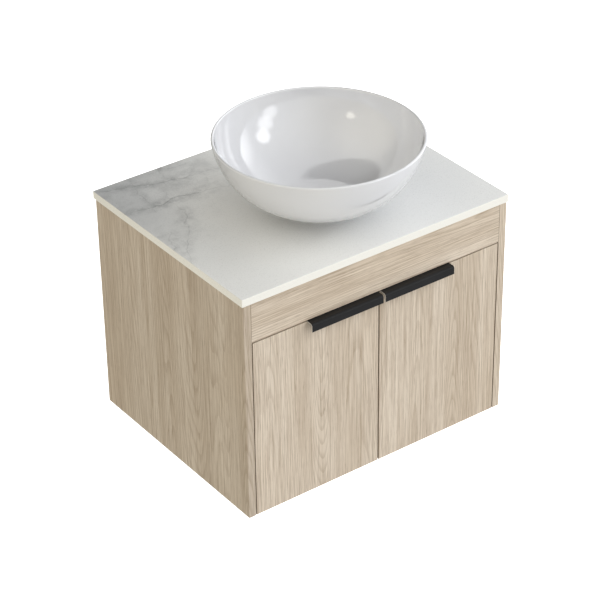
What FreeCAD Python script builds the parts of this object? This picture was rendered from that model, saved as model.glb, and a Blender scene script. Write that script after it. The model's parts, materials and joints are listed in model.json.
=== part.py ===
"""Wall-hung vanity: inset two-door cabinet, stone counter and round vessel basin.

Millimetres. X is to the right, Y is towards the wall, Z is up. Everything is built with
Y = 0 on the wall and Z = 0 at the underside of the cabinet, then lowered so that the
origin is the centre of the four wall screws.
"""
import FreeCAD, Part
import math
import os

V = FreeCAD.Vector
X_AXIS = V(1, 0, 0)
Y_AXIS = V(0, 1, 0)
Z_AXIS = V(0, 0, 1)

# ---- counter ----
counter_width = 610.0
counter_depth = 486.0
counter_thick = 16.0
counter_arris = 0.8
side_overhang = 3.0
front_overhang = 1.0
faucet_hole_radius = 17.5
faucet_from_wall = 55.0

# ---- cabinet ----
cabinet_height = 462.0
panel_thick = 16.0
panel_arris = 0.5
scribe_gap = 3.0
fascia_height = 81.0
fascia_side_gap = 0.5
fascia_rail_height = 70.0
hanging_rail_height = 96.0
lower_rail_height = 64.0
wall_screw_spacing = 406.4
wall_screw_hole_radius = 4.0

# ---- doors ----
door_side_gap = 2.0
door_centre_gap = 3.0
door_top_gap = 2.5
door_back_gap = 1.8
bumper_radius = 4.0
bumper_air = 0.3
bumper_from_door_end = 70.0

# ---- edge pulls on the doors ----
pull_length = 162.0
pull_wall = 1.5
pull_reach = 16.0
pull_lip = 16.5
pull_back_leg = 22.0
pull_back_bend = 1.5
pull_front_bend = 4.0
pull_from_door_edge = 1.0
pull_screw_inset = 20.0

# ---- basin ----
basin_radius = 198.0
basin_height = 147.0
basin_from_wall = 304.0
basin_side_curve = 155.0
basin_rim_lean = 8.4
basin_rim_wall = 6.0
basin_floor_level = 17.0
basin_foot_radius = 58.0
basin_foot_wall = 15.0
basin_foot_hollow = 3.0
basin_foot_blend = 8.0
seal_thick = 1.0

# ---- waste ----
waste_radius = 22.0
waste_bore = 17.5
waste_dish = 7.0
waste_hole_air = 1.0
waste_flange_radius = 32.0
waste_flange_thick = 2.5
waste_gasket_thick = 1.5
waste_below_counter = 36.0
waste_thread_pitch = 2.5
lower_gasket_thick = 6.0
washer_thick = 2.0
lock_nut_height = 10.0
lock_nut_radius = 33.0
tailpiece_radius = 15.875
tailpiece_wall = 1.25
tailpiece_exposed = 120.0
tailpiece_in_waste = 12.0
tailpiece_thread_radius = 15.4
stopper_radius = 31.0
stopper_dome = 4.5
stopper_air = 0.3
stopper_rim = 1.5
stopper_plug_height = 2.0
stopper_post_radius = 4.0
stopper_post_air = 1.0
cartridge_drop = 34.0
cartridge_height = 18.0
cartridge_floor = 4.0
cartridge_spoke_height = 5.0
cartridge_wall = 3.0

# ---- concealed hinges, in plan from the side panel and from the door front ----
hinge_from_door_end = 70.0
hinge_cup_radius = 17.5
hinge_cup_depth = 11.5
hinge_cup_wall = 1.0
hinge_cup_from_door_edge = 3.0
hinge_flange_thick = 1.0
hinge_pin_radius = 1.5
hinge_eye_radius = 3.0
hinge_arm_pin_out = 16.0
hinge_arm_pin_behind_door = 4.5
hinge_cup_pin_out = 21.0
hinge_cup_pin_in_door = 6.0
hinge_knuckle_half = 3.4
hinge_fork_gap = 0.3
hinge_fork_wall = 3.0
hinge_link_half = 1.2
hinge_plate_behind_door = 37.0
plate_base_thick = 2.5
plate_rail_height = 8.5
plate_rail_half = 6.5
plate_wing_half = 24.0
plate_rail_ahead = 16.0
plate_rail_behind = 24.0
arm_crank_ahead = 17.0
arm_strip_thick = 2.2
arm_bend = 2.0
arm_half_height = 8.0

# ---- screws: length, shank radius, head radius and head height ----
pull_screw = (12.0, 1.6, 3.2, 1.8)
cup_screw = (11.0, 1.8, 3.4, 1.4)
plate_screw = (11.0, 2.5, 4.0, 2.0)
arm_screw = (8.0, 2.0, 3.0, 1.6)
fascia_screw = (27.0, 2.0, 4.0, 2.2)
cup_screw_pitch = 22.5
cup_screw_offset = 9.5
plate_screw_pitch = 16.0

# ---- fits ----
running_clearance = 0.05
open_pivot_clearance = 0.25
seat_clearance = 0.1

# ---- cabinet fittings ----
cam_radius = 7.5
cam_past_middle = 4.5
cam_from_edge = 24.0
cam_bolt_head = 3.4
cam_bolt_shank = 2.5
cam_bolt_grip = 11.0
dowel_radius = 4.0
dowel_half_length = 15.0
dowel_spacing = 32.0
floor_cam_inset = 60.0
rail_cam_inset = 16.0
cam_bolt_collar = 2.0
fascia_screw_inset = 60.0

# ---- worked-out places ----
inner_half = counter_width / 2 - side_overhang - panel_thick
outer_half = inner_half + panel_thick
front_y = -(counter_depth - front_overhang)
door_back_y = front_y + panel_thick
bottom_front_y = door_back_y + door_back_gap
counter_top = cabinet_height + counter_thick
door_top = cabinet_height - fascia_height - door_top_gap
door_width = inner_half - door_side_gap - door_centre_gap / 2
upper_screw_z = cabinet_height - hanging_rail_height / 2
lower_screw_z = panel_thick + lower_rail_height / 2
origin_z = (upper_screw_z + lower_screw_z) / 2
cam_depth = panel_thick / 2 + cam_past_middle
basin_y = -basin_from_wall
basin_base = counter_top + seal_thick
waste_ledge = basin_base + basin_floor_level - waste_flange_thick - waste_gasket_thick
flange_top = waste_ledge + waste_gasket_thick + waste_flange_thick
waste_bottom = cabinet_height - waste_below_counter
waste_hole_radius = waste_radius + waste_hole_air
hinge_heights = (door_top - hinge_from_door_end, hinge_from_door_end)
hinge_origin = V(-inner_half, front_y, 0)

# Each hinge folds as a parallelogram about the door's front outer edge: the inner link
# turns with the door and the outer link keeps its direction.
hinge_pivot = V(door_side_gap, 0, 0)
arm_pin = hinge_pivot + V(hinge_arm_pin_out, panel_thick + hinge_arm_pin_behind_door, 0)
cup_pin = hinge_pivot + V(hinge_cup_pin_out, panel_thick - hinge_cup_pin_in_door, 0)
link_pin = arm_pin + cup_pin - hinge_pivot
fork_inner = hinge_knuckle_half + hinge_fork_gap
fork_outer = fork_inner + hinge_fork_wall
pin_hole = hinge_pin_radius + running_clearance
plate_centre = panel_thick + hinge_plate_behind_door
arm_face = plate_rail_height + arm_strip_thick


# ---- shape helpers ----
def box(x0, x1, y0, y1, z0, z1):
    """A block between two corners."""
    return Part.makeBox(x1 - x0, y1 - y0, z1 - z0, V(x0, y0, z0))


def rod(radius, start, direction, length):
    """A round bar from a point along a direction."""
    return Part.makeCylinder(radius, length, start, direction)


def ring(outer, inner, base, height):
    """An upright tube standing on a point."""
    return rod(outer, base, Z_AXIS, height).cut(rod(inner, base, Z_AXIS, height))


def fused(shapes):
    """One solid from touching shapes."""
    whole = shapes[0]
    for shape in shapes[1:]:
        whole = whole.fuse(shape)
    return whole.removeSplitter()


def less(shape, tools):
    """A shape with each tool cut away."""
    for tool in tools:
        shape = shape.cut(tool)
    return shape


def mirrored(shape):
    """The same piece for the right-hand side."""
    return shape.mirror(V(0, 0, 0), X_AXIS)


def moved(shape, shift):
    """A copy moved by a vector."""
    copy = shape.copy()
    copy.translate(shift)
    return copy


def straight_edges(shape, direction, keep):
    """The straight edges along a direction whose middle passes a test."""
    chosen = []
    for edge in shape.Edges:
        if not isinstance(edge.Curve, (Part.Line, Part.LineSegment)):
            continue
        along = edge.tangentAt(edge.FirstParameter)
        middle = edge.valueAt((edge.FirstParameter + edge.LastParameter) / 2)
        if abs(along.dot(direction)) > 0.999 and keep(middle):
            chosen.append(edge)
    return chosen


def panel(x0, x1, y0, y1, z0, z1, show):
    """A board with a fine arris round its shown face; show is -Y, +-X or +Z."""
    board = box(x0, x1, y0, y1, z0, z1)
    middle = V((x0 + x1) / 2, (y0 + y1) / 2, (z0 + z1) / 2)
    half = V(x1 - x0, y1 - y0, z1 - z0) / 2
    reach = abs(half.dot(show))
    shown = []
    for axis in (X_AXIS, Y_AXIS, Z_AXIS):
        shown += straight_edges(board, axis, lambda p: (p - middle).dot(show) > reach - 0.01)
    return board.makeFillet(panel_arris, shown)


def strip_sides(path, thick, bends):
    """Both long sides of a bent strip as edge lists, with a round bend at each corner."""
    sides = []
    for offset in (thick / 2, -thick / 2):
        edges = []
        last = None
        for i in range(len(path) - 1):
            along = (path[i + 1] - path[i]).normalize()
            left = V(-along.y, along.x, 0)
            if last is None:
                last = path[i] + left * offset
            if i == len(path) - 2:
                edges.append(Part.makeLine(last, path[i + 1] + left * offset))
                break
            onward = (path[i + 2] - path[i + 1]).normalize()
            turn = math.atan2(along.cross(onward).z, along.dot(onward))
            centre_radius = bends[i] + thick / 2
            hand = math.copysign(1.0, turn)
            tangent = centre_radius * math.tan(abs(turn) / 2)
            centre = path[i + 1] - along * tangent + left * (hand * centre_radius)
            radius = centre_radius - hand * offset
            arc_start = centre - left * (hand * radius)
            arc_end = centre - V(-onward.y, onward.x, 0) * (hand * radius)
            arc_middle = centre + (path[i + 1] - centre).normalize() * radius
            edges.append(Part.makeLine(last, arc_start))
            edges.append(Part.Arc(arc_start, arc_middle, arc_end).toShape())
            last = arc_end
        sides.append(edges)
    return sides


def bent_strip(path, thick, bends, depth):
    """A strip of even thickness that follows a path in XY, extruded up in Z."""
    one, other = strip_sides(path, thick, bends)
    first_cap = Part.makeLine(one[0].Vertexes[0].Point, other[0].Vertexes[0].Point)
    last_cap = Part.makeLine(one[-1].Vertexes[-1].Point, other[-1].Vertexes[-1].Point)
    outline = Part.Wire(Part.__sortEdges__(one + other + [first_cap, last_cap]))
    return Part.Face(outline).extrude(V(0, 0, depth))


def revolved(edges, centre_y):
    """A turned piece from a closed outline in the XZ plane."""
    outline = Part.Wire(Part.__sortEdges__(edges))
    solid = Part.Face(outline).revolve(V(0, 0, 0), Z_AXIS, 360)
    solid.translate(V(0, centre_y, 0))
    return solid


def polyline(points):
    """Straight edges through points given as radius and height."""
    places = [V(r, 0, z) for r, z in points]
    return [Part.makeLine(a, b) for a, b in zip(places, places[1:])]


def arc_about(centre, start, end):
    """The short arc between two points round a centre, in the XZ plane."""
    radius = (start - centre).Length
    middle = centre + ((start - centre) + (end - centre)).normalize() * radius
    return Part.Arc(start, middle, end).toShape()


def pan_screw(head_seat, inward, size):
    """A screw whose head stands on a surface, with a round drive recess."""
    length, shank, head, head_height = size
    shaft = rod(shank, head_seat, inward, length)
    dome = rod(head, head_seat, inward * -1, head_height)
    recess = rod(head * 0.4, head_seat - inward * head_height, inward, head_height * 0.7)
    return shaft.fuse(dome).cut(recess).removeSplitter()


def pilot(head_seat, inward, size):
    """The hole that a screw's shaft sits in."""
    length, shank = size[:2]
    start = head_seat - inward * 0.5
    return rod(shank + running_clearance, start, inward, length + 1.0)


# ---- cabinet ----
def cam_joints():
    """Every cam joint: its panel, the bolt's depth and height, and where the cam faces."""
    mid_board = panel_thick / 2
    hanging_base = cabinet_height - hanging_rail_height
    fascia_rail_y = door_back_y + mid_board
    fascia_cam_z = cabinet_height - (fascia_rail_height + dowel_spacing) / 2
    return [
        ("bottom_panel", -floor_cam_inset, mid_board, V(0, 0, -1)),
        ("bottom_panel", bottom_front_y + floor_cam_inset, mid_board, V(0, 0, -1)),
        ("rear_hanging_rail", -mid_board, hanging_base + rail_cam_inset, V(0, -1, 0)),
        ("rear_hanging_rail", -mid_board, cabinet_height - rail_cam_inset, V(0, -1, 0)),
        ("rear_lower_rail", -mid_board, panel_thick + rail_cam_inset, V(0, -1, 0)),
        ("front_top_rail", fascia_rail_y, fascia_cam_z, V(0, 1, 0)),
    ]


def dowel_joints():
    """Every dowel joint: its panel, and the dowel's depth and height."""
    places = []
    for name, y, z, mouth in cam_joints():
        if name == "bottom_panel":
            inward = 1.0 if y < -counter_depth / 2 else -1.0
            places.append((name, y + inward * dowel_spacing, z))
        elif z < cabinet_height - dowel_spacing:
            places.append((name, y, z + dowel_spacing))
    return places


def cam_pocket(x, y, z, mouth, air):
    """The round pocket that a cam sits in, or the cam itself with no air."""
    start = V(x, y, z) + mouth * (panel_thick / 2)
    return rod(cam_radius - seat_clearance + air, start, mouth * -1, cam_depth)


def cam_lock(x, y, z, mouth, side):
    """A cam with its bolt way and a screwdriver slot in its face."""
    body = cam_pocket(x, y, z, mouth, 0.0)
    way = rod(cam_bolt_head + 0.3, V(x + side * cam_radius, y, z), V(-side, 0, 0), cam_radius + 5.0)
    face = V(x, y, z) + mouth * (panel_thick / 2)
    slot = box(-4.5, 4.5, -0.6, 0.6, -1.5, 1.5)
    slot.Placement = FreeCAD.Placement(face, FreeCAD.Rotation(Z_AXIS, mouth))
    return less(body, [way, slot])


def cam_bolt(y, z, side):
    """A bolt from the side panel into the cam, with a collar and a round head."""
    wall = V(side * inner_half, y, z)
    inward = V(-side, 0, 0)
    grip = rod(cam_bolt_shank, wall - inward * cam_bolt_grip, inward, cam_bolt_grip)
    collar = rod(cam_bolt_head, wall, inward, cam_bolt_collar)
    neck = rod(cam_bolt_shank - 0.5, wall, inward, cam_from_edge)
    head_start = wall + inward * (cam_from_edge - cam_bolt_collar)
    head = rod(cam_bolt_head, head_start, inward, 2 * cam_bolt_collar)
    return fused([grip, collar, neck, head])


def carcass_cuts(name):
    """What the cam joints and dowels take out of one board."""
    cuts = []
    bolt_way = cam_from_edge + cam_bolt_collar + seat_clearance
    for owner, y, z, mouth in cam_joints():
        for side in (-1, 1):
            wall = V(side * inner_half, y, z)
            inward = V(-side, 0, 0)
            if owner == name:
                cuts.append(rod(cam_bolt_head + 0.6, wall, inward, bolt_way))
                cam_x = side * (inner_half - cam_from_edge)
                cuts.append(cam_pocket(cam_x, y, z, mouth, seat_clearance))
            elif name == side_panel_name(side):
                hole = cam_bolt_shank + running_clearance
                cuts.append(rod(hole, wall, inward * -1, cam_bolt_grip + 0.5))
    for owner, y, z in dowel_joints():
        for side in (-1, 1):
            if name in (owner, side_panel_name(side)):
                cuts.append(dowel(y, z, side, running_clearance))
    return cuts


def side_panel_name(side):
    """Which side panel stands on the given side."""
    return "left_side_panel" if side < 0 else "right_side_panel"


def dowel(y, z, side, air):
    """A wooden dowel, a third of it in the side panel."""
    start = V(side * (inner_half + dowel_half_length * 2 / 3 + air), y, z)
    return rod(dowel_radius + air, start, V(-side, 0, 0), 2 * (dowel_half_length + air))


def side_panel(side):
    """A full-height side, bored for the cabinet joints and the hinge plates."""
    x0, x1 = sorted((side * inner_half, side * outer_half))
    board = panel(x0, x1, front_y, -scribe_gap, 0, cabinet_height, V(side, 0, 0))
    cuts = carcass_cuts(side_panel_name(side))
    for seat, inward in plate_screw_seats(side):
        cuts.append(pilot(seat, inward, plate_screw))
    return less(board, cuts)


def bottom_panel():
    """The floor of the cabinet, set back behind the doors."""
    board = box(-inner_half, inner_half, bottom_front_y, -scribe_gap, 0, panel_thick)
    return less(board, carcass_cuts("bottom_panel"))


def rear_rail(name, z0, z1, screw_z):
    """A board across the back with two holes for the wall screws."""
    board = box(-inner_half, inner_half, -panel_thick, 0, z0, z1)
    holes = []
    for side in (-1, 1):
        start = V(side * wall_screw_spacing / 2, -panel_thick - 1, screw_z)
        holes.append(rod(wall_screw_hole_radius, start, Y_AXIS, panel_thick + 2))
    return less(board, holes + carcass_cuts(name))


def fascia_screw_seats():
    """Where the four fascia screws go in, on the back of the front top rail."""
    seats = []
    outer = inner_half - fascia_screw_inset
    z = cabinet_height - fascia_rail_height / 2
    for x in (-outer, -outer / 3, outer / 3, outer):
        seats.append((V(x, door_back_y + panel_thick, z), V(0, -1, 0)))
    return seats


def front_top_rail():
    """The rail behind the fascia, which ties the sides together at the top."""
    z0 = cabinet_height - fascia_rail_height
    board = box(-inner_half, inner_half, door_back_y, door_back_y + panel_thick, z0, cabinet_height)
    holes = [pilot(seat, inward, fascia_screw) for seat, inward in fascia_screw_seats()]
    return less(board, holes + carcass_cuts("front_top_rail"))


def front_fascia():
    """The fixed false front above the doors, flush with them."""
    half = inner_half - fascia_side_gap
    z0 = cabinet_height - fascia_height
    board = panel(-half, half, front_y, door_back_y, z0, cabinet_height, V(0, -1, 0))
    holes = [pilot(seat, inward, fascia_screw) for seat, inward in fascia_screw_seats()]
    return less(board, holes)


def door_bumpers():
    """Soft discs on the front edge of the floor that the doors close against."""
    discs = []
    for x in (-inner_half + bumper_from_door_end, -bumper_from_door_end):
        for side in (-1, 1):
            start = V(side * x, bottom_front_y, panel_thick / 2)
            discs.append(rod(bumper_radius, start, V(0, -1, 0), door_back_gap - bumper_air))
    return discs


# ---- counter and basin ----
def countertop():
    """The stone slab with its waste hole and faucet hole."""
    half = counter_width / 2
    slab = box(-half, half, -counter_depth, 0, cabinet_height, counter_top)
    shown = []
    for axis in (X_AXIS, Y_AXIS):
        shown += straight_edges(slab, axis, lambda p: p.y < -0.01)
    shown += straight_edges(slab, Z_AXIS, lambda p: p.y < -1)
    slab = slab.makeFillet(counter_arris, shown)
    through = counter_thick + 2
    waste = rod(waste_hole_radius, V(0, basin_y, cabinet_height - 1), Z_AXIS, through)
    faucet = V(0, -faucet_from_wall, cabinet_height - 1)
    return less(slab, [waste, rod(faucet_hole_radius, faucet, Z_AXIS, through)])


def basin():
    """A thin-rimmed bowl on a short foot; its side is one arc inside and one outside."""
    base = basin_base
    top = base + basin_height
    rim = basin_rim_wall / 2
    lean = math.radians(basin_rim_lean)
    outer_top = V(basin_radius, 0, top - rim)
    reach = V(math.cos(lean), 0, -math.sin(lean)) * basin_side_curve
    outer_centre = outer_top - reach
    foot_drop = math.sqrt(basin_side_curve ** 2 - (basin_foot_radius - outer_centre.x) ** 2)
    outer_bottom = V(basin_foot_radius, 0, outer_centre.z - foot_drop)
    inner_top = V(basin_radius - basin_rim_wall, 0, top - rim)
    inner_bottom = V(outer_centre.x, 0, base + basin_floor_level + 1.0)
    across = inner_top.x - inner_bottom.x
    rise = inner_top.z - inner_bottom.z
    inner_curve = (across ** 2 + rise ** 2) / (2 * rise)
    inner_centre = inner_bottom + V(0, 0, inner_curve)
    hollow = basin_foot_radius - basin_foot_wall
    ledge = waste_flange_radius + 1.5
    edges = [
        arc_about(outer_centre, outer_bottom, outer_top),
        Part.Arc(outer_top, V(basin_radius - rim, 0, top), inner_top).toShape(),
        arc_about(inner_centre, inner_top, inner_bottom),
    ]
    edges += polyline([
        (inner_bottom.x, inner_bottom.z),
        (ledge, base + basin_floor_level),
        (ledge, waste_ledge),
        (waste_hole_radius, waste_ledge),
        (waste_hole_radius, base + basin_foot_hollow),
        (hollow, base + basin_foot_hollow),
        (hollow, base),
        (basin_foot_radius, base),
        (outer_bottom.x, outer_bottom.z),
    ])
    bowl = revolved(edges, basin_y)
    joint = [e for e in bowl.Edges if is_ring(e, basin_foot_radius, outer_bottom.z)]
    return bowl.makeFillet(basin_foot_blend, joint)


def is_ring(edge, radius, height):
    """Whether an edge is the full circle of a radius at a height."""
    if not isinstance(edge.Curve, Part.Circle):
        return False
    return abs(edge.Curve.Radius - radius) < 0.01 and abs(edge.Curve.Center.z - height) < 0.01


def basin_seal_ring():
    """The flat seal between the basin's foot and the counter."""
    outer = basin_foot_radius - 1.0
    inner = basin_foot_radius - basin_foot_wall + 1.0
    return ring(outer, inner, V(0, basin_y, counter_top), seal_thick)


# ---- waste ----
def drain_body():
    """The waste: a seat flange and a threaded tube that clamps basin and counter."""
    seat = flange_top - waste_flange_thick
    inner_end = tailpiece_thread_radius + running_clearance
    outline = [
        (waste_bore, flange_top - waste_dish),
        (waste_bore + waste_dish, flange_top),
        (waste_flange_radius - 1.5, flange_top),
        (waste_flange_radius, flange_top - 1.2),
        (waste_flange_radius, seat),
        (waste_radius, seat),
    ]
    groove = cabinet_height - 2.0
    while groove - waste_thread_pitch > waste_bottom + 1.0:
        outline.append((waste_radius, groove))
        outline.append((waste_radius - 0.8, groove - waste_thread_pitch / 2))
        outline.append((waste_radius, groove - waste_thread_pitch))
        groove -= waste_thread_pitch * 1.2
    outline += [
        (waste_radius, waste_bottom),
        (inner_end, waste_bottom),
        (inner_end, waste_bottom + tailpiece_in_waste),
        (waste_bore, waste_bottom + tailpiece_in_waste),
        (waste_bore, flange_top - waste_dish),
    ]
    return revolved(polyline(outline), basin_y)


def drain_upper_gasket():
    """The soft ring under the waste flange."""
    return ring(waste_flange_radius - 1, waste_radius + 0.2, V(0, basin_y, waste_ledge), waste_gasket_thick)


def drain_lower_gasket():
    """The tapered rubber ring under the counter."""
    z1 = cabinet_height
    z0 = z1 - lower_gasket_thick
    outline = [
        (waste_radius + 0.1, z1),
        (waste_radius + 12.0, z1),
        (waste_radius + 12.0, z1 - 2.0),
        (waste_radius + 8.0, z0),
        (waste_radius + 0.1, z0),
        (waste_radius + 0.1, z1),
    ]
    return revolved(polyline(outline), basin_y)


def drain_washer():
    """The slip washer between the rubber ring and the nut."""
    base = V(0, basin_y, cabinet_height - lower_gasket_thick - washer_thick)
    return ring(waste_radius + 10.0, waste_radius + 0.1, base, washer_thick)


def drain_lock_nut():
    """The six-sided nut that pulls the waste down."""
    z1 = cabinet_height - lower_gasket_thick - washer_thick
    z0 = z1 - lock_nut_height
    corners = []
    for i in range(7):
        turn = math.radians(60 * i)
        corners.append(V(lock_nut_radius * math.cos(turn), lock_nut_radius * math.sin(turn) + basin_y, z0))
    prism = Part.Face(Part.makePolygon(corners)).extrude(V(0, 0, lock_nut_height))
    flat = lock_nut_radius * math.cos(math.radians(30))
    collar = rod(flat + 3.0, V(0, basin_y, z1 - 2.0), Z_AXIS, 2.0)
    bore = rod(waste_radius + 0.1, V(0, basin_y, z0 - 1), Z_AXIS, lock_nut_height + 2)
    return fused([prism, collar]).cut(bore)


def drain_tailpiece():
    """The plain tube below the waste that a trap slides onto."""
    bottom = V(0, basin_y, waste_bottom - tailpiece_exposed)
    length = tailpiece_exposed + tailpiece_in_waste
    tube = rod(tailpiece_radius, bottom, Z_AXIS, tailpiece_exposed)
    threaded = rod(tailpiece_thread_radius, bottom, Z_AXIS, length)
    bore = rod(tailpiece_radius - tailpiece_wall, bottom, Z_AXIS, length)
    return fused([tube, threaded]).cut(bore)


def stopper_cartridge():
    """The click cartridge held on three spokes across the waste."""
    base = V(0, basin_y, flange_top - cartridge_drop)
    barrel = rod(stopper_post_radius + cartridge_wall, base, Z_AXIS, cartridge_height)
    spokes = []
    for i in range(3):
        spoke = box(0, waste_bore, -1.2, 1.2, 0, cartridge_spoke_height)
        spoke.rotate(V(0, 0, 0), Z_AXIS, 120 * i + 30)
        spokes.append(moved(spoke, base))
    reach = rod(waste_bore - running_clearance, base, Z_AXIS, cartridge_spoke_height)
    hub = fused([barrel] + [s.common(reach) for s in spokes])
    well = base + V(0, 0, cartridge_floor)
    return hub.cut(rod(stopper_post_radius + seat_clearance, well, Z_AXIS, cartridge_height))


def drain_stopper():
    """The domed click stopper on its post, pushed down; it lifts by its own click."""
    rest = flange_top + stopper_air
    edge = V(stopper_radius, 0, rest + stopper_rim)
    crown = V(0, 0, rest + stopper_rim + stopper_dome)
    dome_radius = (stopper_radius ** 2 + stopper_dome ** 2) / (2 * stopper_dome)
    well_floor = flange_top - cartridge_drop + cartridge_floor
    post_bottom = well_floor + stopper_post_air
    plug = rest - stopper_plug_height
    edges = [arc_about(crown - V(0, 0, dome_radius), edge, crown)]
    edges += polyline([
        (0, crown.z),
        (0, post_bottom),
        (stopper_post_radius, post_bottom),
        (stopper_post_radius, plug),
        (waste_bore - 1.0, plug),
        (waste_bore - 1.0, rest),
        (stopper_radius, rest),
        (stopper_radius, rest + stopper_rim),
    ])
    return revolved(edges, basin_y)


def stopper_seal():
    """The soft ring round the stopper's plug, just clear of the dished seat."""
    base = V(0, basin_y, flange_top + stopper_air - stopper_plug_height)
    outer = waste_bore + waste_dish - stopper_plug_height
    return ring(outer, waste_bore - 1.0, base, stopper_plug_height)


# ---- doors and pulls ----
def hinge_cup_centre():
    """The cup's centre in plan, from the hinge origin."""
    from_side = door_side_gap + hinge_cup_from_door_edge + hinge_cup_radius
    return V(from_side, panel_thick, 0)


def left_door():
    """An inset door, bored for its hinge cups, cup screws and pull screws."""
    x0 = -inner_half + door_side_gap
    slab = panel(x0, x0 + door_width, front_y, door_back_y, 0, door_top, V(0, -1, 0))
    under_bend = straight_edges(slab, X_AXIS, lambda p: p.y > door_back_y - 0.01 and p.z > door_top - 0.01)
    slab = slab.makeFillet(pull_back_bend, under_bend)
    cuts = []
    for height in hinge_heights:
        centre = hinge_origin + hinge_cup_centre() + V(0, 0, height)
        bore = hinge_cup_radius + seat_clearance
        cuts.append(rod(bore, centre, V(0, -1, 0), hinge_cup_depth + seat_clearance))
        for seat, inward in cup_screw_seats(height):
            cuts.append(pilot(seat, inward, cup_screw))
    for seat, inward in pull_screw_seats():
        cuts.append(pilot(seat, inward, pull_screw))
    return less(slab, cuts)


def pull_ends():
    """Where the left door's pull starts and ends along X."""
    inner = -door_centre_gap / 2 - pull_from_door_edge
    return inner - pull_length, inner


def pull_screw_seats():
    """The pull's screws, on the leg behind the door."""
    start, end = pull_ends()
    y = door_back_y + pull_wall
    z = door_top - pull_back_leg * 0.6
    inset = pull_screw_inset
    places = (start + inset, (start + end) / 2, end - inset)
    return [(V(x, y, z), V(0, -1, 0)) for x in places]


def left_handle():
    """A bent edge pull: a leg behind the door, a plate over its top and a front lip."""
    half = pull_wall / 2
    plate = pull_wall / 2
    path = [
        V(panel_thick + half, -pull_back_leg, 0),
        V(panel_thick + half, plate, 0),
        V(-pull_reach + half, plate, 0),
        V(-pull_reach + half, pull_wall - pull_lip, 0),
    ]
    strip = bent_strip(path, pull_wall, (pull_back_bend, pull_front_bend), pull_length)
    # the strip's X is depth, its Y is height and its Z is length along the door
    turn = FreeCAD.Matrix(0, 0, 1, 0, 1, 0, 0, 0, 0, 1, 0, 0, 0, 0, 0, 1)
    strip = strip.transformGeometry(turn)
    strip = moved(strip, V(pull_ends()[0], front_y, door_top))
    holes = []
    for seat, inward in pull_screw_seats():
        holes.append(pilot(seat, inward, pull_screw))
    return less(strip, holes)


def left_handle_screws():
    """The pan-head screws that hold the pull to the back of the door."""
    return [pan_screw(seat, inward, pull_screw) for seat, inward in pull_screw_seats()]


# ---- concealed hinges ----
def at_hinge(shape, height):
    """A piece built round the hinge origin, moved to one hinge's height."""
    return moved(shape, hinge_origin + V(0, 0, height))


def plate_screw_seats(side):
    """The screws of both hinge plates on one side panel."""
    seats = []
    for height in hinge_heights:
        for w in (-plate_screw_pitch, plate_screw_pitch):
            x = side * (inner_half - plate_base_thick)
            seats.append((V(x, front_y + plate_centre, height + w), V(side, 0, 0)))
    return seats


def cup_screw_seats(height):
    """The two screws that hold one cup's flange to the door."""
    centre = hinge_origin + hinge_cup_centre() + V(cup_screw_offset, hinge_flange_thick, height)
    return [(centre + V(0, 0, w), V(0, -1, 0)) for w in (-cup_screw_pitch, cup_screw_pitch)]


def hinge_plate():
    """The winged plate on the side panel that carries the arm."""
    half = plate_wing_half
    wings = box(0, plate_base_thick, plate_centre - 6, plate_centre + 6, -half, half)
    wings = wings.makeFillet(5.0, straight_edges(wings, X_AXIS, lambda p: True))
    deep = (plate_centre - plate_rail_ahead, plate_centre + plate_rail_behind)
    rail = box(0, plate_rail_height, *deep, -plate_rail_half, plate_rail_half)
    holes = []
    for w in (-plate_screw_pitch, plate_screw_pitch):
        start = V(-1, plate_centre, w)
        holes.append(rod(plate_screw[1] + running_clearance, start, X_AXIS, plate_base_thick + 2))
    holes += [pilot(seat, V(-1, 0, 0), arm_screw) for seat in arm_screw_seats()]
    return less(fused([wings, rail]), holes)


def arm_screw_seats():
    """The fixing and adjusting screws through the arm into its plate."""
    return [V(arm_face, plate_centre - 8, 0), V(arm_face, plate_centre + 14, 0)]


def hinge_arm():
    """The cranked arm from its plate to the knuckle at the door."""
    x = plate_rail_height + arm_strip_thick / 2
    crank = V(x, plate_centre - arm_crank_ahead, 0)
    back = V(x, plate_centre + plate_rail_behind, 0)
    toward = (arm_pin - crank).normalize()
    wide_end = arm_pin - toward * (hinge_eye_radius + 3.5)
    wide = bent_strip([back, crank, wide_end], arm_strip_thick, (arm_bend,), 2 * arm_half_height)
    wide = moved(wide, V(0, 0, -arm_half_height))
    half = hinge_knuckle_half
    neck = moved(bent_strip([wide_end, arm_pin], arm_strip_thick, (), 2 * half), V(0, 0, -half))
    knuckle = rod(hinge_eye_radius, arm_pin - V(0, 0, half), Z_AXIS, 2 * half)
    lip_thick = arm_half_height - plate_rail_half - seat_clearance
    lips = []
    for w in (-arm_half_height, arm_half_height - lip_thick):
        lips.append(box(plate_rail_height - 5.0, x, crank.y, back.y, w, w + lip_thick))
    arm = fused([wide, neck, knuckle] + lips)
    cuts = [rod(hinge_pin_radius, arm_pin - V(0, 0, 20), Z_AXIS, 40)]
    cuts += [pilot(seat, V(-1, 0, 0), arm_screw) for seat in arm_screw_seats()]
    return less(arm, cuts)


def eyed_bar(start, end, z0, z1, hole_start, hole_end):
    """A flat bar between two eyes, each with its own hole radius."""
    along = end - start
    side = V(-along.y, along.x, 0).normalize() * hinge_link_half
    corners = [start + side, end + side, end - side, start - side, start + side]
    web = Part.Face(Part.makePolygon(corners)).extrude(V(0, 0, z1 - z0))
    eyes = [rod(hinge_eye_radius, p, Z_AXIS, z1 - z0) for p in (start, end)]
    bar = moved(fused([web] + eyes), V(0, 0, z0))
    tall = z1 - z0 + 2
    lower = V(0, 0, z0 - 1)
    holes = [rod(hole_start, start + lower, Z_AXIS, tall), rod(hole_end, end + lower, Z_AXIS, tall)]
    return less(bar, holes)


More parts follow.
